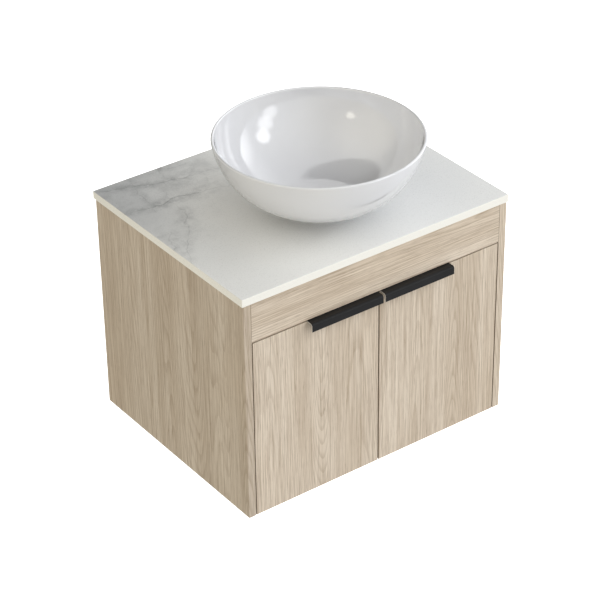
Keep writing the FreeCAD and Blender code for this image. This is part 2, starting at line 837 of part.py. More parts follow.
def hinge_inner_link():
    """The fork that swings from the arm, turning as the door turns."""
    cheeks = []
    for z0 in (-fork_outer, fork_inner):
        z1 = z0 + hinge_fork_wall
        cheeks.append(eyed_bar(arm_pin, link_pin, z0, z1, pin_hole, hinge_pin_radius))
    along = (link_pin - arm_pin).normalize()
    side = V(-along.y, along.x, 0) * hinge_link_half
    near = arm_pin + along * (hinge_eye_radius * 2)
    far = arm_pin + along * ((link_pin - arm_pin).Length * 0.55)
    corners = [near + side, far + side, far - side, near - side, near + side]
    bridge = Part.Face(Part.makePolygon(corners)).extrude(V(0, 0, 2 * fork_inner + 0.4))
    return fused(cheeks + [moved(bridge, V(0, 0, -fork_inner - 0.2))])


def hinge_outer_link():
    """The bar from the fork down into the cup, loose on the cup's pin."""
    half = hinge_knuckle_half
    loose = hinge_pin_radius + open_pivot_clearance
    return eyed_bar(link_pin, cup_pin, -half, half, pin_hole, loose)


def hinge_cup():
    """The pressed cup in the door, with its screwed flange and pin holes."""
    centre = hinge_cup_centre()
    well = rod(hinge_cup_radius, centre, V(0, -1, 0), hinge_cup_depth)
    rim = rod(hinge_cup_radius + 2.0, centre, Y_AXIS, hinge_flange_thick)
    half = cup_screw_pitch + 6.0
    ear_x = centre.x + cup_screw_offset
    ears = box(ear_x - 6, ear_x + 6, centre.y, centre.y + hinge_flange_thick, -half, half)
    ears = ears.makeFillet(5.0, straight_edges(ears, Y_AXIS, lambda p: True))
    inside = hinge_cup_radius - hinge_cup_wall
    depth = hinge_cup_depth - hinge_cup_wall + hinge_flange_thick
    hollow = rod(inside, centre + V(0, hinge_flange_thick, 0), V(0, -1, 0), depth)
    holes = [rod(hinge_pin_radius, cup_pin - V(0, 0, 30), Z_AXIS, 60)]
    for w in (-cup_screw_pitch, cup_screw_pitch):
        start = centre + V(cup_screw_offset, 2, w)
        holes.append(rod(cup_screw[1] + running_clearance, start, V(0, -1, 0), 4))
    return less(fused([well, rim, ears]), [hollow] + holes)


def hinge_arm_pin():
    """The rivet through the arm's knuckle and the fork's first eyes."""
    return rod(hinge_pin_radius, arm_pin - V(0, 0, fork_outer), Z_AXIS, 2 * fork_outer)


def hinge_link_pin():
    """The rivet through the fork's second eyes and the outer link."""
    return rod(hinge_pin_radius, link_pin - V(0, 0, fork_outer), Z_AXIS, 2 * fork_outer)


def hinge_cup_pin():
    """The rivet across the cup, ending in its wall."""
    pin = rod(hinge_pin_radius, cup_pin - V(0, 0, 30), Z_AXIS, 60)
    wall = rod(hinge_cup_radius - 0.1, hinge_cup_centre() + V(0, 5, 0), V(0, -1, 0), 30)
    return pin.common(wall)


def hinge_arm_screws():
    """The two pan-head screws that hold one arm on its plate."""
    return [pan_screw(seat, V(-1, 0, 0), arm_screw) for seat in arm_screw_seats()]


# ---- the whole vanity ----
def cabinet_nodes():
    """The boards and their joining pieces."""
    hanging_base = cabinet_height - hanging_rail_height
    cams = []
    bolts = []
    for side in (-1, 1):
        for name, y, z, mouth in cam_joints():
            cams.append(cam_lock(side * (inner_half - cam_from_edge), y, z, mouth, side))
            bolts.append(cam_bolt(y, z, side))
    dowels = [dowel(y, z, side, 0.0) for side in (-1, 1) for name, y, z in dowel_joints()]
    screws = [pan_screw(seat, inward, fascia_screw) for seat, inward in fascia_screw_seats()]
    return {
        "left_side_panel": side_panel(-1),
        "right_side_panel": side_panel(1),
        "bottom_panel": bottom_panel(),
        "front_fascia": front_fascia(),
        "front_top_rail": front_top_rail(),
        "rear_hanging_rail": rear_rail("rear_hanging_rail", hanging_base, cabinet_height, upper_screw_z),
        "rear_lower_rail": rear_rail(
            "rear_lower_rail", panel_thick, panel_thick + lower_rail_height, lower_screw_z
        ),
        "carcass_cam_locks": Part.makeCompound(cams),
        "carcass_cam_bolts": Part.makeCompound(bolts),
        "carcass_dowels": Part.makeCompound(dowels),
        "fascia_screws": Part.makeCompound(screws),
        "door_bumpers": Part.makeCompound(door_bumpers()),
    }


def basin_nodes():
    """The counter, the basin and the waste."""
    return {
        "countertop": countertop(),
        "basin": basin(),
        "basin_seal_ring": basin_seal_ring(),
        "drain_body": drain_body(),
        "drain_upper_gasket": drain_upper_gasket(),
        "drain_lower_gasket": drain_lower_gasket(),
        "drain_washer": drain_washer(),
        "drain_lock_nut": drain_lock_nut(),
        "drain_tailpiece": drain_tailpiece(),
        "stopper_cartridge": stopper_cartridge(),
        "drain_stopper": drain_stopper(),
        "stopper_seal": stopper_seal(),
    }


def handed(name, shape):
    """A left-hand piece and its mirror image, by name."""
    return {"left_" + name: shape, "right_" + name: mirrored(shape)}


def door_nodes():
    """Both doors with their pulls."""
    nodes = handed("door", left_door())
    nodes.update(handed("handle", left_handle()))
    nodes.update(handed("handle_screws", Part.makeCompound(left_handle_screws())))
    return nodes


def hinge_nodes():
    """Four concealed hinges, with their pins and screws in groups."""
    nodes = {}
    pieces = {
        "hinge_plate": hinge_plate(),
        "hinge_arm": hinge_arm(),
        "hinge_inner_link": hinge_inner_link(),
        "hinge_outer_link": hinge_outer_link(),
        "hinge_cup": hinge_cup(),
    }
    for level, height in zip(("upper_", "lower_"), hinge_heights):
        for name, shape in pieces.items():
            nodes.update(handed(level + name, at_hinge(shape, height)))
    link_pins = [at_hinge(hinge_link_pin(), height) for height in hinge_heights]
    cup_pins = [at_hinge(hinge_cup_pin(), height) for height in hinge_heights]
    arm_pins = [at_hinge(hinge_arm_pin(), height) for height in hinge_heights]
    arm_screws = [at_hinge(s, height) for height in hinge_heights for s in hinge_arm_screws()]
    cup_screws = []
    for height in hinge_heights:
        for seat, inward in cup_screw_seats(height):
            cup_screws.append(pan_screw(seat, inward, cup_screw))
    plate_screws = [pan_screw(seat, inward, plate_screw) for seat, inward in plate_screw_seats(-1)]
    nodes.update(handed("hinge_link_pins", Part.makeCompound(link_pins)))
    nodes.update(handed("hinge_cup_pins", Part.makeCompound(cup_pins)))
    nodes.update(handed("hinge_cup_screws", Part.makeCompound(cup_screws)))
    for name, solids in (
        ("hinge_arm_pins", arm_pins),
        ("hinge_arm_screws", arm_screws),
        ("hinge_plate_screws", plate_screws),
    ):
        nodes[name] = Part.makeCompound(solids + [mirrored(s) for s in solids])
    return nodes


def main():
    """Build every node, move the origin to the wall screws and write the files."""
    os.makedirs("parts", exist_ok=True)
    nodes = {}
    for group in (cabinet_nodes(), basin_nodes(), door_nodes(), hinge_nodes()):
        nodes.update(group)
    for name, shape in nodes.items():
        moved(shape, V(0, 0, -origin_z)).exportStep("parts/" + name + ".step")


main()
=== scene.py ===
"""Looks for the wall-hung vanity: oak laminate, veined stone, glazed basin and metal.

Metres, in the part's own frame: +X right, -Y front, +Z up, origin at the wall screws.
"""

import json
import math

import bmesh
import bpy
from mathutils import Matrix, Vector


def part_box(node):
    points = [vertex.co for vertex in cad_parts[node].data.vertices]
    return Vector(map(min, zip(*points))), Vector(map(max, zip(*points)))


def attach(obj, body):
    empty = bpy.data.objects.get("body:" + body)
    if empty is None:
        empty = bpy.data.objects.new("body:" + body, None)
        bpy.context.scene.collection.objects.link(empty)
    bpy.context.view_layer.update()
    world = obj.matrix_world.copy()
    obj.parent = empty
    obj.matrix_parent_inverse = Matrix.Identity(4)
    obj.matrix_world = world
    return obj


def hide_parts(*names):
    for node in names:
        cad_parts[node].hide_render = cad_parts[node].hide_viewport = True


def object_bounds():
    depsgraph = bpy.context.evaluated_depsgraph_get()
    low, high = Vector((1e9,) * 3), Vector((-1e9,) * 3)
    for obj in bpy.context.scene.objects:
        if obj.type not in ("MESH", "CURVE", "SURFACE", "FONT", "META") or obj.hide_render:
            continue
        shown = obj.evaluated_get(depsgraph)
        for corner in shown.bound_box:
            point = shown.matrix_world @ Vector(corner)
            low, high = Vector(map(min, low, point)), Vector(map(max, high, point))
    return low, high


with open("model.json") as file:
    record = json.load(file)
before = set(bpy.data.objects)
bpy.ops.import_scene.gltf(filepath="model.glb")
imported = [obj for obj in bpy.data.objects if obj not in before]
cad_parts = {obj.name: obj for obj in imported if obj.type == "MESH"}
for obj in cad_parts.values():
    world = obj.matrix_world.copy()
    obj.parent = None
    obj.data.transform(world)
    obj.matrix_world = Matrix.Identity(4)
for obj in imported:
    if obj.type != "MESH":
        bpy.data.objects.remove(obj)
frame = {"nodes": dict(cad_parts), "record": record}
cad_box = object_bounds()
nodes = frame["nodes"]
basin_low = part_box("basin")[0].z


# ---- camera ----
AZIMUTH = math.radians(-35.965)
ELEVATION = math.radians(32.296)
ROLL = math.radians(-0.828)
DISTANCE = 4.4134
TARGET = Vector((-0.0118, -0.2542, 0.019))
LENS = 137.76
SENSOR = 36.0
FAR_CLIP = 90.0


def place_camera():
    """A camera at DISTANCE from TARGET, turned by ROLL about its own line of sight."""
    back = Vector((
        math.sin(AZIMUTH) * math.cos(ELEVATION),
        -math.cos(AZIMUTH) * math.cos(ELEVATION),
        math.sin(ELEVATION),
    ))
    across = Vector((0, 0, 1)).cross(back).normalized()
    up = back.cross(across)
    turned_across = across * math.cos(ROLL) + up * math.sin(ROLL)
    turned_up = up * math.cos(ROLL) - across * math.sin(ROLL)
    camera = bpy.data.objects.new("camera", bpy.data.cameras.new("camera"))
    bpy.context.scene.collection.objects.link(camera)
    turn = Matrix((turned_across, turned_up, back)).transposed().to_4x4()
    camera.matrix_world = Matrix.Translation(TARGET + back * DISTANCE) @ turn
    camera.data.lens = LENS
    camera.data.sensor_width = SENSOR
    camera.data.clip_end = FAR_CLIP
    bpy.context.scene.camera = camera


# ---- node helpers ----
class NodeCalls:
    """Short calls for the nodes that the materials and the sky share."""

    def __init__(self, tree):
        self.tree = tree

    def link(self, source, socket):
        self.tree.links.new(source, socket)

    def feed(self, socket, value):
        if hasattr(value, "is_output"):
            self.link(value, socket)
        else:
            socket.default_value = value

    def math(self, operation, a, b=0.0, c=0.0):
        node = self.tree.nodes.new("ShaderNodeMath")
        node.operation = operation
        for socket, value in zip(node.inputs, (a, b, c)):
            self.feed(socket, value)
        return node.outputs[0]

    def dot(self, first, second):
        node = self.tree.nodes.new("ShaderNodeVectorMath")
        node.operation = "DOT_PRODUCT"
        self.feed(node.inputs[0], first)
        self.feed(node.inputs[1], second)
        return node.outputs["Value"]

    def span(self, value, low, high, to_low=0.0, to_high=1.0):
        """A smooth step between two levels, as value goes from low to high."""
        node = self.tree.nodes.new("ShaderNodeMapRange")
        node.interpolation_type = "SMOOTHSTEP"
        self.link(value, node.inputs["Value"])
        for name, number in (
            ("From Min", low), ("From Max", high), ("To Min", to_low), ("To Max", to_high)
        ):
            node.inputs[name].default_value = number
        return node.outputs["Result"]

    def mix(self, share, first, second):
        """The first colour where share is 0 and the second where it is 1."""
        node = self.tree.nodes.new("ShaderNodeMix")
        node.data_type = "RGBA"
        node.clamp_factor = True
        self.feed(node.inputs["Factor"], share)
        colours = [s for s in node.inputs if s.type == "RGBA"]
        for socket, value in zip(colours, (first, second)):
            if isinstance(value, tuple):
                value = (*value[:3], 1.0)
            self.feed(socket, value)
        return [s for s in node.outputs if s.type == "RGBA"][0]


class Shader(NodeCalls):
    """A Principled material, with its textures in the part's own frame."""

    EDGE_DOT = (0.985, 0.86)
    GAP_SHADE_AO = (0.62, 0.18)

    def __init__(self, name, **sockets):
        self.material = bpy.data.materials.new(name)
        self.material.use_nodes = True
        super().__init__(self.material.node_tree)
        self.bsdf = self.tree.nodes["Principled BSDF"]
        for key, value in sockets.items():
            self.bsdf.inputs[key.replace("_", " ")].default_value = value
        self.place = self.tree.nodes.new("ShaderNodeTexCoord").outputs["Object"]

    def mapping(self, scale=(1, 1, 1), shift=(0, 0, 0), turn=(0, 0, 0)):
        node = self.tree.nodes.new("ShaderNodeMapping")
        self.link(self.place, node.inputs["Vector"])
        node.inputs["Scale"].default_value = scale
        node.inputs["Location"].default_value = shift
        node.inputs["Rotation"].default_value = turn
        return node.outputs["Vector"]

    def noise(self, source, scale, detail=2.0, rough=0.5, colour=False):
        node = self.tree.nodes.new("ShaderNodeTexNoise")
        self.link(source, node.inputs["Vector"])
        node.inputs["Scale"].default_value = scale
        node.inputs["Detail"].default_value = detail
        node.inputs["Roughness"].default_value = rough
        return node.outputs["Color" if colour else "Fac"]

    def parts(self, source):
        """The x, y and z of a vector."""
        node = self.tree.nodes.new("ShaderNodeSeparateXYZ")
        self.link(source, node.inputs[0])
        return node.outputs

    def normal(self):
        return self.tree.nodes.new("ShaderNodeTexCoord").outputs["Normal"]

    def bump(self, height, distance, strength):
        node = self.tree.nodes.new("ShaderNodeBump")
        self.link(height, node.inputs["Height"])
        node.inputs["Distance"].default_value = distance
        node.inputs["Strength"].default_value = strength
        return node.outputs["Normal"]

    def outer_edges(self, radius):
        """1 on outside edges and 0 elsewhere, from the bevelled normal."""
        bevel = self.tree.nodes.new("ShaderNodeBevel")
        bevel.samples = 4
        bevel.inputs["Radius"].default_value = radius
        geometry = self.tree.nodes.new("ShaderNodeNewGeometry")
        dot = self.dot(bevel.outputs["Normal"], geometry.outputs["Normal"])
        return self.span(dot, *self.EDGE_DOT)

    def painted_gap_shade(self, reach):
        """Painted shade's share: 1 deep in a narrow gap and 0 on an open face, from ambient
        occlusion.
        """
        node = self.tree.nodes.new("ShaderNodeAmbientOcclusion")
        node.samples = 8
        node.inputs["Distance"].default_value = reach
        return self.span(node.outputs["AO"], *self.GAP_SHADE_AO)

    def finish(self, colour, rough, normal=None):
        self.feed(self.bsdf.inputs["Base Color"], colour)
        self.feed(self.bsdf.inputs["Roughness"], rough)
        if normal is not None:
            self.link(normal, self.bsdf.inputs["Normal"])
        return self.material


def srgb(red, green, blue):
    """A linear colour from 8-bit display values."""
    def channel(value):
        value /= 255.0
        return value / 12.92 if value <= 0.04045 else ((value + 0.055) / 1.055) ** 2.4
    return (channel(red), channel(green), channel(blue))


# ---- materials ----
def oak(name, along, seed, tone=1.0):
    """Light washed oak decor: contour figures, fine streaks and short pores along one axis, and
    painted shade in narrow gaps.
    """
    s = Shader(name, Specular_IOR_Level=0.35)
    shift = (0.37 * seed, 0.71 * seed, 0.53 * seed)

    def stretched(across, length):
        return tuple(length if axis == along else across for axis in "XYZ")

    body = s.mapping(scale=stretched(1.0, 0.065), shift=shift)
    wobble = s.noise(body, 14.0, detail=2.0, rough=0.45, colour=True)
    bend = s.tree.nodes.new("ShaderNodeVectorMath")
    bend.operation = "MULTIPLY_ADD"
    s.link(wobble, bend.inputs[0])
    bend.inputs[1].default_value = (0.014, 0.014, 0.014)
    s.link(body, bend.inputs[2])
    hills = s.noise(bend.outputs[0], 7.5, detail=1.0, rough=0.35)
    rings = s.math("FRACT", s.math("MULTIPLY", hills, 78.0))
    late = s.math("MULTIPLY", s.span(rings, 0.42, 0.90), s.span(rings, 1.0, 0.93))

    def grain(length, scale, detail, rough=0.5):
        """Noise drawn out along the grain; length is its shrinking along that axis."""
        where = s.mapping(scale=stretched(1.0, length), shift=shift)
        return s.noise(where, scale, detail=detail, rough=rough)

    band = grain(0.030, 22.0, 4.0, 0.55)
    strand = grain(0.022, 190.0, 4.0, 0.65)
    streak = grain(0.013, 540.0, 3.0, 0.62)
    dash = grain(0.030, 800.0, 2.0, 0.55)
    dash = s.math("MULTIPLY", s.span(dash, 0.54, 0.70), s.span(strand, 0.34, 0.62, 0.35, 1.0))
    pore = grain(0.040, 1000.0, 1.0)
    pore = s.math("MULTIPLY", s.span(pore, 0.60, 0.72), s.span(late, 0.1, 0.9, 0.45, 1.0))
    patch = grain(0.350, 7.0, 2.0)
    # share of the painted gap shade: most on upright faces
    gap_shade_uprights = s.span(s.math("ABSOLUTE", s.parts(s.normal())[2]), 0.9, 0.5, 0.25, 0.9)

    def shade(red, green, blue):
        return tuple(c * tone for c in srgb(red, green, blue))

    colour = s.mix(s.span(band, 0.34, 0.66), shade(222, 209, 192), shade(204, 189, 170))
    for share, tint in (
        (s.span(patch, 0.40, 0.72, 0.0, 0.50), (207, 190, 168)),
        (s.span(strand, 0.45, 0.68, 0.0, 0.42), (193, 177, 157)),
        (s.math("MULTIPLY", late, s.span(band, 0.25, 0.65, 0.20, 0.44)), (166, 147, 124)),
        (s.span(streak, 0.46, 0.66, 0.0, 0.62), (168, 150, 130)),
        (s.math("MULTIPLY", dash, 0.55), (148, 129, 108)),
        (s.span(streak, 0.42, 0.30, 0.0, 0.40), (236, 224, 207)),
        (s.math("MULTIPLY", pore, 0.55), (134, 112, 90)),
        # painted shade: dark brown where the oak faces into a narrow gap
        (s.math("MULTIPLY", s.painted_gap_shade(0.005), gap_shade_uprights), (74, 58, 44)),
    ):
        colour = s.mix(share, colour, shade(*tint))
    rough = s.span(streak, 0.3, 0.7, 0.46, 0.60)
    height = s.math("ADD", s.math("MULTIPLY", pore, -1.0), s.math("MULTIPLY", dash, -0.6))
    return s.finish(colour, rough, s.bump(height, 0.00014, 0.6))


def board(name, along, seed):
    """The same decor on the inside boards, a touch darker."""
    return oak(name, along, seed, tone=0.97)


def stone():
    """Satin white sintered stone with grey veins towards the back left, and painted shade
    greying the back-left corner.
    """
    s = Shader("sintered_stone", Specular_IOR_Level=0.45)
    x, y, _ = s.parts(s.place)
    drift = 0.11
    dx, dy, _ = s.parts(s.noise(s.place, 5.0, detail=5.0, rough=0.62, colour=True))
    wx = s.math("MULTIPLY_ADD", dx, drift, x)
    wy = s.math("MULTIPLY_ADD", dy, drift, y)
    fine = s.noise(s.place, 26.0, detail=4.0, rough=0.6)
    feather = s.noise(s.place, 60.0, detail=4.0, rough=0.65)

    def vein(px, py, degrees, thin, strength, broken):
        """A warped line through a point, fading along its length, with feathered sides."""
        angle = math.radians(degrees)
        off = s.math("MULTIPLY_ADD", wx, -math.sin(angle), math.sin(angle) * (px + drift / 2))
        off = s.math("MULTIPLY_ADD", wy, math.cos(angle), off)
        off = s.math("ABSOLUTE", s.math("ADD", off, -math.cos(angle) * (py + drift / 2)))
        core = s.math("MULTIPLY", s.span(off, thin, 0.0), s.span(feather, 0.30, 0.60, 0.5, 1.0))
        halo = s.span(feather, 0.32, 0.66, 0.16, 0.66)
        halo = s.math("MULTIPLY", s.span(off, thin * 9.0, 0.0), halo)
        line = s.math("MAXIMUM", core, halo)
        gap = s.noise(s.mapping(shift=(px * 9, py * 7, degrees)), 9.0, detail=3.0)
        line = s.math("MULTIPLY", line, s.span(gap, broken, broken + 0.24))
        return s.math("MULTIPLY", line, strength)

    veins = vein(-0.180, -0.045, -20, 0.0034, 0.95, 0.24)
    for line in (
        vein(-0.170, -0.130, -6, 0.0038, 0.95, 0.26),
        vein(-0.240, -0.205, 66, 0.0034, 0.85, 0.32),
        vein(-0.268, -0.170, 74, 0.0026, 0.70, 0.34),
        vein(-0.110, -0.095, 62, 0.0034, 0.75, 0.34),
        vein(-0.060, -0.030, -14, 0.0024, 0.60, 0.36),
    ):
        veins = s.math("MAXIMUM", veins, line)
    cloud = s.span(s.noise(s.place, 11.0, detail=6.0, rough=0.64), 0.44, 0.76)
    veins = s.math("MAXIMUM", veins, s.math("MULTIPLY", cloud, 0.55))
    reach = s.math("MULTIPLY_ADD", y, -0.85, x)
    reach = s.math("MULTIPLY_ADD", s.math("ADD", dx, -0.5), 0.16, reach)
    veins = s.math("MULTIPLY", veins, s.span(reach, 0.06, -0.10))
    veins = s.math("MULTIPLY", veins, s.span(fine, 0.2, 0.6, 0.7, 1.0))
    tint = s.noise(s.place, 3.0, detail=3.0)
    base = s.mix(s.span(tint, 0.3, 0.7), srgb(235, 235, 233), srgb(229, 230, 229))
    # painted shade: the base turns grey towards the back-left corner and back edge
    base = s.mix(s.span(reach, 0.02, -0.24, 0.0, 0.75), base, srgb(170, 172, 174))
    colour = s.mix(s.math("MULTIPLY", veins, 0.9), base, srgb(122, 124, 125))
    edge = s.span(s.parts(s.normal())[2], 0.75, 0.45, 0.0, 0.85)
    colour = s.mix(edge, colour, srgb(243, 241, 233))
    speck = s.noise(s.place, 650.0, detail=2.0)
    rough = s.span(speck, 0.3, 0.7, 0.26, 0.36)
    return s.finish(colour, rough, s.bump(speck, 0.00004, 0.4))


def ceramic():
    """White glaze with a faint orange-peel and a bare matt foot."""
    s = Shader(
        "white_ceramic",
        Coat_Weight=1.0, Coat_Roughness=0.02, Coat_IOR=1.6, Specular_IOR_Level=0.9,
    )
    bare, glazed = basin_low + 0.0006, basin_low + 0.0016
    tint = s.noise(s.place, 6.0, detail=2.0)
    colour = s.mix(s.span(tint, 0.3, 0.7), srgb(225, 226, 229), srgb(220, 221, 225))
    foot = s.span(s.parts(s.place)[2], glazed, bare)
    colour = s.mix(foot, colour, srgb(222, 216, 205))
    rough = s.math("MULTIPLY_ADD", foot, 0.6, s.span(tint, 0.3, 0.7, 0.05, 0.075))
    peel = s.noise(s.place, 55.0, detail=1.0)
    return s.finish(colour, rough, s.bump(peel, 0.00018, 0.10))


def black_metal():
    """Satin black anodised strip; the sawn ends are bare metal."""
    s = Shader("black_aluminium", Specular_IOR_Level=0.25)
    grain = s.noise(s.mapping(scale=(0.02, 1.0, 1.0)), 1400.0, detail=2.0)
    speckle = s.noise(s.place, 900.0, detail=2.0)
    cloud = s.noise(s.place, 16.0, detail=3.0)
    colour = s.mix(s.span(cloud, 0.3, 0.7), srgb(17, 17, 18), srgb(24, 24, 25))
    # lighter speckled outside edges: wear, and a painted edge highlight
    wear_and_edge_highlight = s.math("MULTIPLY", s.outer_edges(0.0006), s.span(speckle, 0.35, 0.75))
    colour = s.mix(s.math("MULTIPLY", wear_and_edge_highlight, 0.5), colour, srgb(84, 85, 88))
    cut = s.span(s.math("ABSOLUTE", s.parts(s.normal())[0]), 0.80, 0.95)
    saw = s.noise(s.mapping(scale=(1.0, 1.0, 0.05), turn=(0.5, 0, 0)), 1500.0, detail=2.0)
    bare = s.mix(s.span(saw, 0.3, 0.7), srgb(214, 211, 205), srgb(176, 173, 168))
    colour = s.mix(cut, colour, bare)
    rough = s.span(grain, 0.3, 0.7, 0.40, 0.52)
    height = s.math("ADD", s.math("MULTIPLY", grain, 0.6), s.math("MULTIPLY", speckle, 0.4))
    return s.finish(colour, rough, s.bump(height, 0.00003, 0.6))


def plated(name, low, high, rough_low, rough_high, brush=(1, 1, 1)):
    """A plated or machined metal with fine brushing, soft stains and lighter outside edges."""
    s = Shader(name, Metallic=1.0)
    brushing = s.noise(s.mapping(scale=brush), 1100.0, detail=3.0)
    cloud = s.noise(s.place, 60.0, detail=4.0, rough=0.6)
    colour = s.mix(s.span(cloud, 0.3, 0.7), low, high)
    bright = tuple(min(1.0, c * 1.25) for c in high)
    colour = s.mix(s.math("MULTIPLY", s.outer_edges(0.0004), 0.6), colour, bright)
    rough = s.math("ADD", s.span(cloud, 0.3, 0.75, rough_low, rough_high),
                   s.span(brushing, 0.3, 0.7, -0.03, 0.05))
    return s.finish(colour, rough, s.bump(brushing, 0.00002, 0.5))


def soft_black():
    """Moulded black rubber."""
    s = Shader("black_rubber", Specular_IOR_Level=0.3)
    grain = s.noise(s.place, 1500.0, detail=3.0)
    cloud = s.noise(s.place, 80.0, detail=2.0)
    colour = s.mix(s.span(cloud, 0.3, 0.7), srgb(38, 38, 38), srgb(52, 51, 50))
    return s.finish(colour, s.span(grain, 0.3, 0.7, 0.62, 0.8), s.bump(grain, 0.00005, 0.6))


def moulded(name, first, second, through=0.0):
    """Pale moulded plastic or silicone with a fine spark-eroded skin."""
    s = Shader(name, Subsurface_Weight=through, Subsurface_Scale=0.002)
    grain = s.noise(s.place, 1800.0, detail=2.0)
    cloud = s.noise(s.place, 90.0, detail=2.0)
    colour = s.mix(s.span(cloud, 0.3, 0.7), first, second)
    return s.finish(colour, s.span(grain, 0.3, 0.7, 0.38, 0.52), s.bump(grain, 0.00004, 0.5))


# ---- mesh helpers ----
def new_piece(name, mesh, body, material, slot, *stands_for):
    """A visible piece that rides a body and stands for the named CAD nodes."""
    piece = bpy.data.objects.new(name, mesh)
    bpy.context.scene.collection.objects.link(piece)
    mesh.materials.clear()
    mesh.materials.append(material)
    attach(piece, body)
    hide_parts(*stands_for)


# a screw's proportions: in the head, shares of its radius and of its rise; in the shank,
# shares of its radius, and its point's end as a share of the screw's length
RING_POINTS = 40
HEAD_FLAT = 0.74
HEAD_PROFILE = ((0.86, 0.96), (0.94, 0.86), (0.985, 0.70), (1.0, 0.50), (1.0, 0.0))
CROSS_TOP = (0.56, 0.15)
CROSS_FLOOR = (0.34, 0.10)
CROSS_FLOOR_HEIGHT = 0.35
THREADS = 9
THREAD_ROOT = 0.72
POINT_LENGTH = 1.6
POINT_RADIUS = 0.35
POINT_END = 0.97
RECESS_TURN = 0.7
SHARP_ANGLE = math.radians(32)
WELD_GAP = 1e-6
SHORTEST_SCREW = 0.005


def ring_of(mesh, turn, radius, height):
    """A loop of vertices round a screw's own axis, at a height above its seat."""
    loop = []
    for i in range(RING_POINTS):
        angle = 2 * math.pi * i / RING_POINTS
        point = Vector((radius * math.cos(angle), radius * math.sin(angle), height))
        loop.append(mesh.verts.new(turn @ point))
    return loop


def cross_of(mesh, turn, arm, half, height):
    """The twelve corners of a cross with arms of a given reach and half width."""
    corners = []
    for quarter in range(4):
        spin = Matrix.Rotation(quarter * math.pi / 2, 4, "Z")
        for x, y in ((arm, -half), (arm, half), (half, half)):
            corners.append(mesh.verts.new(turn @ (spin @ Vector((x, y, height)))))
    return corners


def joined_loops(mesh, one, other):
    """A band of faces between two loops of the same length."""
    for i in range(len(one)):
        j = (i + 1) % len(one)
        mesh.faces.new((one[i], one[j], other[j], other[i]))


def add_screw(mesh, turn, length, shank, head, rise):
    """A pan-head screw with a cross recess and a turned point; its seat is at height 0."""
    flat = ring_of(mesh, turn, head * HEAD_FLAT, rise)
    rim = cross_of(mesh, turn, *(head * share for share in CROSS_TOP), rise)
    floor_height = rise * CROSS_FLOOR_HEIGHT
    sunk = cross_of(mesh, turn, *(head * share for share in CROSS_FLOOR), floor_height)
    edges = [
        mesh.edges.new((loop[i], loop[i - 1])) for loop in (flat, rim) for i in range(len(loop))
    ]
    bmesh.ops.triangle_fill(mesh, use_beauty=True, edges=edges)
    joined_loops(mesh, rim, sunk)
    mesh.faces.new(sunk)
    steps = [(head * r, rise * h) for r, h in HEAD_PROFILE]
    steps.append((shank, 0.0))
    pitch = (length - shank * POINT_LENGTH) / (THREADS + 1)
    for i in range(1, THREADS + 1):
        steps += [(shank, -pitch * i), (shank * THREAD_ROOT, -pitch * (i + 0.5))]
    steps += [(shank, -pitch * (THREADS + 1)), (shank * POINT_RADIUS, -length * POINT_END)]
    last = flat
    for radius, height in steps:
        loop = ring_of(mesh, turn, radius, height)
        joined_loops(mesh, last, loop)
        last = loop
    tip = mesh.verts.new(turn @ Vector((0, 0, -length)))
    for i in range(len(last)):
        mesh.faces.new((last[i], last[(i + 1) % len(last)], tip))


def islands(node):
    """The points of each separate solid in a CAD node, in the part's frame."""
    mesh = bmesh.new()
    mesh.from_mesh(node.data)
    mesh.transform(node.matrix_world)
    bmesh.ops.remove_doubles(mesh, verts=mesh.verts, dist=WELD_GAP)
    mesh.verts.index_update()
    seen = set()
    groups = []
    for start in mesh.verts:
        if start.index in seen:
            continue
        seen.add(start.index)
        queue, group = [start], []
        while queue:
            vert = queue.pop()
            group.append(vert.co.copy())
            for edge in vert.link_edges:
                other = edge.other_vert(vert)
                if other.index not in seen:
                    seen.add(other.index)
                    queue.append(other)
        groups.append(group)
    mesh.free()
    return groups


def detailed_screws(node_name, body):
    """Cross-recessed screws in place of a CAD node's plain ones, at their sizes and places."""
    mesh = bmesh.new()
    for count, points in enumerate(islands(nodes[node_name])):
        low = Vector([min(p[k] for p in points) for k in range(3)])
        high = Vector([max(p[k] for p in points) for k in range(3)])
        middle = (low + high) / 2
        size = high - low
        axis = max(range(3), key=lambda k: size[k])
        assert size[axis] > SHORTEST_SCREW, node_name

        def off_axis(point):
            return math.hypot(*(point[k] - middle[k] for k in range(3) if k != axis))

        head = max(off_axis(p) for p in points)
        wide = [p[axis] for p in points if off_axis(p) > head * 0.99]
        outward = 1.0 if sum(wide) / len(wide) > middle[axis] else -1.0
        end = (low if outward > 0 else high)[axis]
        shank = max(off_axis(p) for p in points if abs(p[axis] - end) < 1e-5)
        seat = min(wide, key=lambda w: w * outward)
        top = max(wide, key=lambda w: w * outward)
        up = Vector([outward if k == axis else 0.0 for k in range(3)])
        turn = up.to_track_quat("Z", "X").to_matrix().to_4x4()
        turn = turn @ Matrix.Rotation(RECESS_TURN * count, 4, "Z")
        place = middle.copy()
        place[axis] = seat
        turn = Matrix.Translation(place) @ turn
        add_screw(mesh, turn, abs(seat - end), shank, head, abs(top - seat))
    bmesh.ops.recalc_face_normals(mesh, faces=mesh.faces)
    name = node_name + "_detail"
    data = bpy.data.meshes.new(name)
    mesh.to_mesh(data)
    mesh.free()
    data.polygons.foreach_set("use_smooth", [True] * len(data.polygons))
    data.set_sharp_from_angle(angle=SHARP_ANGLE)
    new_piece(name, data, body, slot_finish["plated_steel"], "plated_steel", node_name)


# ---- lights and stage ----
FLOOR_Z = cad_box[0][2] - 0.75
FLOOR_HALF = 45.0
FLOOR_GLOW = 0.85
LIGHT_AIM = Vector((0, -0.28, 0.1))


def toward(azimuth, elevation):
    """A unit vector; azimuth is measured from the front towards the right."""
    a, e = math.radians(azimuth), math.radians(elevation)
    return Vector((math.sin(a) * math.cos(e), -math.cos(a) * math.cos(e), math.sin(e)))


